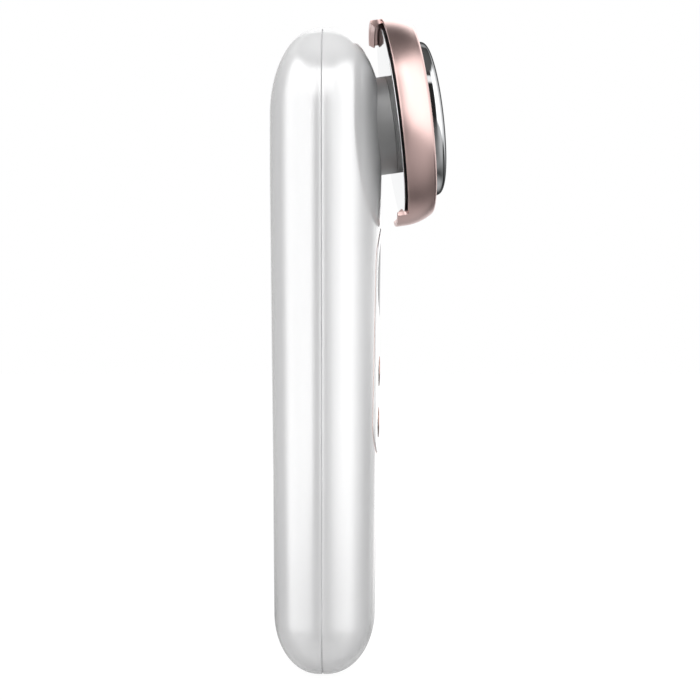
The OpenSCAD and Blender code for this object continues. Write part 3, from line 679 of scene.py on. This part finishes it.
def retaining_ring():
    """The ring, with two hooks that reach behind the dish's rim, each with a tooth."""
    points, faces, loops = [], [], []
    for a, reach in ring_rows():
        add_loop(points, loops, ring_loop(ring_section(reach), a))
    skin(faces, loops, closed=True)
    for middle in HOOK_MIDDLES:
        loops = []
        for share in spaced(-1, 1, TOOTH_ROWS):
            a = middle + share * (HALF_HOOK - 2 * SMALL / RING_R)
            add_loop(points, loops, ring_loop(tooth_section(), a))
        skin(faces, loops)
        faces += [tuple(loops[0]), tuple(reversed(loops[-1]))]
    return make("retaining_ring_fine", points, faces, RING_SHARP)


# ---------------------------------------------------------------- contact plate

DOME_Z = RING_L + DOME_RISE
PLATE_BASE = LEDGE_Z + SEAL_T + 2 * SMALL
DOME_ROWS, PLATE_SEGMENTS = 40, 224


def dome_arc(r, h):
    """Section of the dome from its edge to its apex, for this radius and height."""
    e = 2 / DOME_SQUARENESS
    out = []
    for i in range(DOME_ROWS):
        a = math.pi / 4 * (1 - math.cos(math.pi * i / DOME_ROWS))
        out.append((r * max(0.0, math.cos(a)) ** e, DOME_Z + h * math.sin(a) ** e))
    return out + [(0.0, DOME_Z + h)]


def contact_plate():
    """The domed plate: a thin cap with a straight skirt."""
    inner_r = PLATE_R - PLATE_WALL
    inside = reversed(dome_arc(inner_r, DOME_H - PLATE_WALL))
    profile = [(PLATE_R, PLATE_BASE), *dome_arc(PLATE_R, DOME_H), *inside, (inner_r, PLATE_BASE)]
    return lathe("contact_plate_fine", profile, on_head, PLATE_SEGMENTS)


# ---------------------------------------------------------------- shader nodes

def connect(tree, node, inputs):
    """Fills a node's inputs: an output of another node is linked, and any other value is set."""
    for key, value in inputs.items():
        if isinstance(value, bpy.types.NodeSocket):
            tree.links.new(value, node.inputs[key])
        else:
            node.inputs[key].default_value = value


def add(tree, kind, inputs=None, **settings):
    """Adds a node with these settings and inputs."""
    node = tree.nodes.new(kind)
    for name, value in settings.items():
        setattr(node, name, value)
    connect(tree, node, inputs or {})
    return node


def calc(tree, operation, a, b=0.0):
    return add(tree, "ShaderNodeMath", {0: a, 1: b}, operation=operation).outputs["Value"]


def combine(tree, operation, first, *others):
    """A sum or a product of several values."""
    total = first
    for value in others:
        total = calc(tree, operation, total, value)
    return total


def mixed(tree, factor, a, b):
    return add(tree, "ShaderNodeMixShader", {0: factor, 1: a, 2: b}).outputs["Shader"]


def background(tree, level):
    inputs = {"Color": (1, 1, 1, 1), "Strength": level}
    return add(tree, "ShaderNodeBackground", inputs).outputs["Background"]


def grey_ramp(tree, value, stops):
    """A level that follows a value from 0 to 1, by stops (value, level) that start at 0 and end at 1."""
    ramp = add(tree, "ShaderNodeValToRGB", {"Fac": value})
    marks = ramp.color_ramp.elements
    for place, _ in stops[1:-1]:
        marks.new(place)
    for mark, (_, level) in zip(marks, stops):
        mark.color = (level, level, level, 1)
    return ramp.outputs["Color"]


def by_angle(tree, angle, stops):
    """A level that follows an angle, by stops (degrees, level)."""
    low, high = stops[0][0], stops[-1][0]
    span = add(tree, "ShaderNodeMapRange", {"Value": angle, "From Min": low, "From Max": high})
    places = [((at - low) / (high - low), level) for at, level in stops]
    return grey_ramp(tree, span.outputs["Result"], places)


# ---------------------------------------------------------------- materials

BUMP_DEPTH = 0.0002                    # height of the fine bump at full strength, in metres
TINT_MARKS = (0.3, 0.7)                # places of the two tints on the slow variation's scale


def material(name, color, rough, metallic=0.0, coat=0.0, coat_rough=0.05, ior=1.46, edge=1.0,
             vary=0.02, scale=60.0, rough_vary=0.04, bump=0.02, bump_scale=400.0):
    """A procedural finish: a base colour with a slow variation, uneven roughness and a fine bump."""
    finish = bpy.data.materials.new(name)
    finish.use_nodes = True
    tree = finish.node_tree
    place = add(tree, "ShaderNodeTexCoord").outputs["Object"]

    def noise(size, detail=3.0):
        inputs = {"Vector": place, "Scale": size, "Detail": detail}
        return add(tree, "ShaderNodeTexNoise", inputs).outputs["Fac"]

    tint = add(tree, "ShaderNodeValToRGB", {"Fac": noise(scale)})
    for mark, at, share in zip(tint.color_ramp.elements, TINT_MARKS, (1 - vary, 1 + vary)):
        mark.position = at
        mark.color = [min(1, c * share) for c in color] + [1]
    grain = add(tree, "ShaderNodeMapRange", {
        "Value": noise(scale * 3, detail=4.0),
        "To Min": max(0.0, rough - rough_vary),
        "To Max": min(1.0, rough + rough_vary),
    })
    fine = add(tree, "ShaderNodeBump", {
        "Height": noise(bump_scale, detail=2.0),
        "Strength": bump,
        "Distance": BUMP_DEPTH,
    })
    connect(tree, tree.nodes["Principled BSDF"], {
        "Base Color": tint.outputs["Color"],
        "Roughness": grain.outputs["Result"],
        "Normal": fine.outputs["Normal"],
        "Metallic": metallic,
        "IOR": ior,
        "Specular Tint": (edge, edge, edge, 1),
        "Coat Weight": coat,
        "Coat Roughness": coat_rough,
    })
    return finish


SHELL_COLOR, CHROME_COLOR = (0.86, 0.86, 0.865), (0.86, 0.87, 0.88)

# Glossy plastic. The front shell's coat is satin, so that its reflections have softer edges
shell_white = material("shell_white", SHELL_COLOR, 0.16, coat=1.0, coat_rough=0.06, vary=0.006,
                       rough_vary=0.03, bump=0.03, bump_scale=900)
shell_satin = material("shell_satin", SHELL_COLOR, 0.18, coat=1.0, coat_rough=0.19, vary=0.006,
                       rough_vary=0.03, bump=0.03, bump_scale=900)
panel_white = material("panel_white", (0.88, 0.88, 0.885), 0.12, coat=1.0, vary=0.006,
                       rough_vary=0.03, bump_scale=1200)
window_grey = material("window_grey", (0.20, 0.205, 0.215), 0.14, ior=1.25, vary=0.03, bump=0.01,
                       bump_scale=1200)

# Metal on the outside. The plate's chrome is dark where it is seen at a flat angle
rose = material("rose_metal", (0.80, 0.55, 0.49), 0.24, metallic=1.0, bump=0.03, bump_scale=2500)
rose_ring = material("rose_ring", (0.86, 0.62, 0.585), 0.3, metallic=1.0, vary=0.015, bump=0.04,
                     bump_scale=3000)
chrome = material("chrome", CHROME_COLOR, 0.05, metallic=1.0, vary=0.01, rough_vary=0.02, bump=0.01,
                  bump_scale=1500)
plate_chrome = material("plate_chrome", CHROME_COLOR, 0.05, metallic=1.0, edge=0.02, vary=0.01,
                        rough_vary=0.02, bump=0.01, bump_scale=1500)
neck_grey = material("neck_grey", (0.6, 0.6, 0.6), 0.42, metallic=0.6, vary=0.05, bump=0.1,
                     bump_scale=2500)

# Plain plastic and rubber
black = material("carrier_black", (0.012, 0.012, 0.013), 0.35, vary=0.1, bump=0.1, bump_scale=2000)
seal_grey = material("seal_grey", (0.74, 0.74, 0.75), 0.55, vary=0.1, bump=0.2, bump_scale=1800)
seal_black = material("seal_black", (0.02, 0.02, 0.02), 0.6, vary=0.1, bump=0.2, bump_scale=1800)
socket_black = material("socket_black", (0.03, 0.03, 0.03), 0.4, vary=0.1, bump=0.15, bump_scale=1800)
frame_grey = material("frame_grey", (0.55, 0.55, 0.55), 0.5, vary=0.04, bump=0.1, bump_scale=1500)
guide_white = material("guide_white", (0.8, 0.8, 0.76), 0.5, vary=0.03, bump=0.1, bump_scale=1500)
foam = material("foam_grey", (0.09, 0.09, 0.09), 0.9, vary=0.25, scale=900, bump=0.8, bump_scale=2600)

# Board, lamps, battery and small metal pieces
board_green = material("board_green", (0.01, 0.13, 0.045), 0.35, coat=0.3, vary=0.15, scale=200,
                       bump=0.2, bump_scale=1500)
chip_black = material("chip_black", (0.02, 0.02, 0.02), 0.5, vary=0.15, bump=0.2, bump_scale=3000)
led = material("led_yellow", (0.85, 0.75, 0.35), 0.2, coat=0.4, vary=0.04, bump_scale=1500)
battery_grey = material("battery_grey", (0.3, 0.33, 0.36), 0.3, coat=0.3, vary=0.08, bump=0.15,
                        bump_scale=700)
steel = material("steel", (0.6, 0.6, 0.6), 0.28, metallic=1.0, vary=0.05, bump=0.1, bump_scale=3000)
gold = material("pin_gold", (0.83, 0.6, 0.23), 0.2, metallic=1.0, vary=0.04, bump=0.05,
                bump_scale=3000)
brass = material("weight_brass", (0.7, 0.5, 0.25), 0.35, metallic=1.0, vary=0.06, bump=0.15,
                 bump_scale=2500)

NODE_FINISH = {
    "seam_seal": seal_grey, "light_guide": guide_white, "button_rims": rose, "power_button": panel_white,
    "mode_button": panel_white, "main_board": board_green, "indicator_leds": led, "board_chips": chip_black,
    "tact_switches": steel, "inner_frame": frame_grey, "board_screws": steel, "battery": battery_grey,
    "battery_pad": foam, "charge_socket": socket_black, "neck": neck_grey, "neck_screws": steel,
    "back_dish": chrome, "head_carrier": black, "head_screws": steel, "plate_seal": seal_black,
    "contact_pin": gold, "vibration_motor": steel, "motor_clip": seal_black, "motor_shaft": steel,
    "eccentric_weight": brass,
}


def dress(obj, finish):
    """Gives an object one material."""
    obj.data.materials.clear()
    obj.data.materials.append(finish)
    for face in obj.data.polygons:
        face.material_index = 0


# ---------------------------------------------------------------- pieces

front = front_shell()
rear = rear_shell()
trim = panel_trim()
panel = control_panel()
window = display_window()
ring = retaining_ring()
plate = contact_plate()

for node, finish in NODE_FINISH.items():
    dress(nodes[node], finish)
for piece, node, body, slot, finish in (
    (front, "front_shell", "handle", "shell_white", shell_satin),
    (rear, "rear_shell", "handle", "shell_white", shell_white),
    (trim, "panel_trim", "handle", "rose_metal", rose),
    (panel, "control_panel", "handle", "panel_white", panel_white),
    (window, "display_window", "handle", "window_grey", window_grey),
    (ring, "retaining_ring", "pad_ring", "rose_ring", rose_ring),
    (plate, "contact_plate", "handle", "plate_chrome", plate_chrome),
):
    dress(piece, finish)
    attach(piece, body)
    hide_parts(node)

# ---------------------------------------------------------------- floor

FLOOR_HALF = 3.0                       # half of the floor's side, in metres
FLOOR_GAP = 0.00001                    # distance of the floor below the part, in metres
FLOOR_WHITE = 0.96
FLOOR_GLOW = 1.07
FLOOR_SHARE = 0.9                      # share of the glow in what the camera sees of the floor


def floor_material():
    """Matt white, which the camera sees mostly as an even glow, with a trace of the part's shadow."""
    finish = bpy.data.materials.new("floor_white")
    finish.use_nodes = True
    tree = finish.node_tree
    matt = tree.nodes["Principled BSDF"]
    white = (FLOOR_WHITE, FLOOR_WHITE, FLOOR_WHITE, 1)
    connect(tree, matt, {"Base Color": white, "Roughness": 0.9, "Specular IOR Level": 0.0})
    glow = add(tree, "ShaderNodeEmission", {"Strength": FLOOR_GLOW}).outputs["Emission"]
    share = calc(tree, "MULTIPLY", add(tree, "ShaderNodeLightPath").outputs["Is Camera Ray"], FLOOR_SHARE)
    shown = mixed(tree, share, matt.outputs["BSDF"], glow)
    connect(tree, tree.nodes["Material Output"], {"Surface": shown})
    return finish


floor_mesh = bpy.data.meshes.new("floor")
corners = [(x * FLOOR_HALF, y * FLOOR_HALF) for x, y in ((-1, -1), (1, -1), (1, 1), (-1, 1))]
floor_mesh.from_pydata([(x, y, cad_box[0].z - FLOOR_GAP) for x, y in corners], [], [(0, 1, 2, 3)])
floor_mesh.materials.append(floor_material())
floor = bpy.data.objects.new("floor", floor_mesh)
scene.collection.objects.link(floor)
floor.visible_glossy = False           # polished surfaces see the world's table in its place

# ---------------------------------------------------------------- studio

# A direction is given in degrees by its side and its rise. Side 0 is the camera's side (-X), 90 the
# rear of the handle (+Y), -90 its front and 180 the far side. Rise 90 is straight up
SOFT_LEVEL = 1.58                      # the soft light on matt surfaces
BOX_LEVEL = 0.75                       # the softboxes, as polished surfaces see them
CEILING_LEVEL = 0.1
TWICE_DIMMED = 0.85                    # share that a reflection of a reflection loses
FAINT = 0.02                           # what a reflection sees that only lights something matt
BOX_AWAY = 3.0                         # distance of the softboxes (m)
LIGHT_CENTRE = Vector((0, -0.005, 0.09))       # what the softboxes face (m)


def direction(tree):
    """Side and rise of the direction in which the world is seen."""
    seen = add(tree, "ShaderNodeTexCoord").outputs["Generated"]
    axes = add(tree, "ShaderNodeSeparateXYZ", {"Vector": seen}).outputs
    side = calc(tree, "ARCTAN2", axes["Y"], calc(tree, "MULTIPLY", axes["X"], -1.0))
    rise = calc(tree, "ARCSINE", axes["Z"])
    return calc(tree, "DEGREES", side), calc(tree, "DEGREES", rise)


def soft_light(tree, side, rise):
    """Light on matt surfaces: brightest from above, and a little less from behind the handle."""
    up = by_angle(tree, rise, [(-90, 0.42), (0, 0.0), (20, 0.12), (45, 0.7), (60, 0.95), (90, 1.0)])
    around = by_angle(tree, side, [(-180, 0.93), (-90, 1.0), (0, 0.93), (90, 0.85), (180, 0.93)])
    return combine(tree, "MULTIPLY", up, around, SOFT_LEVEL)


def room(tree, side, rise):
    """What polished surfaces see: pale walls with a dark gap for the camera, a table and a ceiling."""
    walls = by_angle(tree, side, [(-180, 1.0), (-80, 1.0), (-27, 0.95), (-18, 0.02), (4, 0.02),
                                  (13, 0.8), (95, 0.7), (110, 0.5), (158, 0.5), (166, 0.95), (180, 1.0)])
    table = by_angle(tree, side, [(-180, 0.5), (-155, 0.5), (-145, 0.4), (-135, 0.24), (-125, 0.12),
                                  (-115, 0.15), (-100, 0.26), (-85, 0.38), (-65, 0.44), (-45, 0.4),
                                  (-25, 0.22), (-8, 0.06), (8, 0.06), (25, 0.6), (60, 0.66),
                                  (100, 0.5), (180, 0.5)])
    # The walls are lower in front of the handle and beyond, so the ceiling starts lower there
    share = by_angle(tree, side, [(-180, 1), (-165, 1), (-150, 0.6), (-120, 0.55), (-105, 0.73),
                                  (-90, 0.88), (-62, 1), (180, 1)])
    slope = calc(tree, "TANGENT", calc(tree, "RADIANS", rise))
    top = calc(tree, "DEGREES", calc(tree, "ARCTANGENT", calc(tree, "DIVIDE", slope, share)))
    above_table = by_angle(tree, rise, [(-17, 0), (-8, 1)])
    below_ceiling = by_angle(tree, top, [(54, 1), (63, 0)])
    ceiling = by_angle(tree, top, [(54, 0), (63, 1)])
    on_table = by_angle(tree, rise, [(-90, 0.5), (-65, 0.62), (-45, 1), (-28, 1), (-17, 0.6), (-8, 0)])
    return combine(tree, "ADD", combine(tree, "MULTIPLY", walls, above_table, below_ceiling),
                   calc(tree, "MULTIPLY", table, on_table), calc(tree, "MULTIPLY", ceiling, CEILING_LEVEL))


def seen_boxes(tree, side, rise):
    """The two softboxes that polished surfaces see, left and right of the camera."""
    across = by_angle(tree, side, [(-100, 0), (-88, 0.3), (-66, 0.9), (-56, 1), (-27, 1), (-18, 0),
                                   (4, 0), (13, 1), (70, 1), (100, 0.12), (112, 0)])
    up = by_angle(tree, rise, [(-60, 0.0), (-34, 0.12), (-18, 0.4), (-9, 1), (54, 1), (62, 0)])
    return combine(tree, "MULTIPLY", across, up, BOX_LEVEL)


def patch(tree, side, rise, sides, rises):
    """A soft-edged patch of the surroundings."""
    return calc(tree, "MULTIPLY", by_angle(tree, side, sides), by_angle(tree, rise, rises))


def polished_view(tree, side, rise, twice):
    """All that polished surfaces see, dimmed where twice is 1."""
    view = calc(tree, "ADD", room(tree, side, rise), seen_boxes(tree, side, rise))
    # A bright bar that joins the two softboxes above the camera
    bar = patch(tree, side, rise, [(-32, 0), (-22, 1), (16, 1), (26, 0)],
                [(40, 0), (44, 1), (51, 1), (55, 0)])
    # A dark stretch of the horizon, beyond the front of the handle
    horizon = patch(tree, side, rise, [(-180, 0), (-162, 0), (-148, 0.93), (-103, 0.93), (-93, 0.2),
                                       (-80, 0), (180, 0)], [(-26, 0), (-20, 1), (-6, 1), (1, 0)])
    lost = calc(tree, "MULTIPLY", twice, TWICE_DIMMED)
    return combine(tree, "MULTIPLY", calc(tree, "MAXIMUM", view, bar),
                   calc(tree, "SUBTRACT", 1.0, horizon), calc(tree, "SUBTRACT", 1.0, lost))


def studio():
    """The world, of which each kind of ray sees its own part. The camera sees white."""
    world = bpy.data.worlds.new("studio")
    world.use_nodes = True
    tree = world.node_tree
    side, rise = direction(tree)
    path = add(tree, "ShaderNodeLightPath").outputs
    straight = calc(tree, "LESS_THAN", path["Diffuse Depth"], 0.5)
    reflected = calc(tree, "MULTIPLY", path["Is Glossy Ray"], straight)
    twice = calc(tree, "GREATER_THAN", path["Glossy Depth"], 1.5)
    soft = background(tree, soft_light(tree, side, rise))
    polished = background(tree, polished_view(tree, side, rise, twice))
    lit = mixed(tree, path["Is Glossy Ray"], soft, background(tree, FAINT))
    lit = mixed(tree, reflected, lit, polished)
    shown = mixed(tree, path["Is Camera Ray"], lit, background(tree, 1.0))
    connect(tree, tree.nodes["World Output"], {"Surface": shown})
    world.cycles.sampling_method = "NONE"          # so that each kind of ray sees its own part
    return world


# The white pieces, and all the pieces that can stand in a softbox's light
pale = [front, rear, panel, nodes["power_button"], nodes["mode_button"]]
solid = pale + [trim, ring, plate]
solid += [nodes[name] for name in ("neck", "back_dish", "head_carrier", "button_rims")]


def across_box(stops):
    """Stops (degrees, level) on a flat box as stops (place from 0 to 1, level)."""
    middle = (stops[0][0] + stops[-1][0]) / 2
    reach = math.tan(math.radians(stops[-1][0] - middle))
    return [(0.5 + 0.5 * math.tan(math.radians(at - middle)) / reach, level) for at, level in stops]


def box_length(stops):
    """Length of a softbox, from its stops."""
    return 2 * BOX_AWAY * math.tan(math.radians(stops[-1][0] - stops[0][0]) / 2)


def softbox(name, sides, rises, strength, receivers, matt=False):
    """A large soft-edged box that lights only the receivers, with stops (degrees, level) both ways.

    It shows in what is polished and doesn't light what is matt, or with matt the other way round.
    """
    a, e = (math.radians((stops[0][0] + stops[-1][0]) / 2) for stops in (sides, rises))
    data = bpy.data.lights.new(name, "AREA")
    data.shape = "RECTANGLE"
    data.size, data.size_y = box_length(sides), box_length(rises)
    data.energy = strength * data.size * data.size_y * math.pi
    data.use_nodes = True
    tree = data.node_tree
    where = add(tree, "ShaderNodeNewGeometry").outputs["Parametric"]
    axes = add(tree, "ShaderNodeSeparateXYZ", {"Vector": where}).outputs
    mirrored = [(1 - place, level) for place, level in reversed(across_box(sides))]
    levels = grey_ramp(tree, axes["X"], mirrored), grey_ramp(tree, axes["Y"], across_box(rises))
    connect(tree, tree.nodes["Emission"], {"Strength": calc(tree, "MULTIPLY", *levels)})
    obj = bpy.data.objects.new(name, data)
    way = Vector((-math.cos(a) * math.cos(e), math.sin(a) * math.cos(e), math.sin(e)))
    obj.location = LIGHT_CENTRE + way * BOX_AWAY
    obj.rotation_mode = "QUATERNION"
    obj.rotation_quaternion = way.to_track_quat("Z", "Y")
    obj.visible_diffuse, obj.visible_glossy = matt, not matt
    scene.collection.objects.link(obj)
    for kind, members in (("receiver_collection", receivers), ("blocker_collection", solid)):
        group = bpy.data.collections.new(name + "_" + kind)
        for piece in members:
            group.objects.link(piece)
        setattr(obj.light_linking, kind, group)


scene.world = studio()

# The bright bands on the handle, from the left, the right and above the camera
upward = [(-52, 0), (-38, 0.22), (-30, 0.3), (-22, 0.62), (-15, 1), (53, 1), (61, 0)]
softbox("left_box", [(6, 0), (14, 1), (70, 1), (80, 0.85), (89, 0.45), (97, 0.13), (108, 0)],
        upward, 3.8, pale)
softbox("right_box", [(-100, 0), (-88, 0.1), (-76, 0.27), (-66, 0.6), (-54, 0.95), (-48, 1), (-12, 1),
                      (-2, 0)], upward, 4.4, pale)
softbox("bridge_box", [(-12, 0), (-2, 1), (6, 1), (14, 0)], [(15, 0), (26, 1), (51, 1), (58, 0)],
        3.8, pale)

# Soft light from above and below, and the bright table that the handle's lower end reflects
softbox("top_box", [(-25, 1), (25, 1)], [(65, 1), (105, 1)], 2.3, pale, matt=True)
softbox("low_box", [(-25, 1), (25, 1)], [(-105, 1), (-65, 1)], 0.6, pale, matt=True)
softbox("table_box", [(-45, 0), (-30, 1), (30, 1), (45, 0)], [(-96, 0), (-82, 0.8), (-52, 1), (-38, 0)],
        0.8, pale)

# The ring's highlights: on its lower part, on its upper rim and on its side
softbox("ring_low_box", [(-34, 0), (-24, 1), (2, 1), (10, 0)], [(-84, 0), (-66, 1), (-24, 1), (-12, 0)],
        0.17, [ring])
softbox("crown_box", [(140, 0), (158, 1), (203, 1), (217, 0.35), (232, 0)],
        [(28, 0), (38, 1), (51, 1), (69, 0)], 0.85, [ring])
softbox("ring_box", [(-28, 0), (-19, 1), (-11, 0.6), (-4, 0.15), (3, 0)],
        [(-14, 0), (4, 1), (50, 1), (60, 0)], 1.6, [ring])

# The bright edge along the handle's front outline, and the glint on the trim
softbox("edge_box", [(-170, 1), (-135, 1), (-122, 0)], [(-25, 0), (-15, 1), (40, 1), (50, 0)], 0.6, pale)
softbox("trim_box", [(-165, 1), (-60, 1)], [(-35, 1), (45, 1)], 0.6, [trim])

# ---------------------------------------------------------------- camera

CAMERA_AT = (-250.8, -6.0, 88.4)       # millimetres, in the frame
SENSOR_W = 36
PHOTO_PX, FOCAL_PX, SHIFT_PX = 700, 900, 5

lens = bpy.data.cameras.new("camera")
lens.sensor_width = SENSOR_W
lens.lens = SENSOR_W * FOCAL_PX / PHOTO_PX
lens.shift_x = SHIFT_PX / PHOTO_PX
lens.clip_start, lens.clip_end = 0.01, 20
camera = bpy.data.objects.new("camera", lens)
camera.location = Vector(CAMERA_AT) * MM
camera.rotation_euler = (math.radians(90), 0, math.radians(-90))
scene.collection.objects.link(camera)
scene.camera = camera
scene.view_settings.view_transform = "Standard"
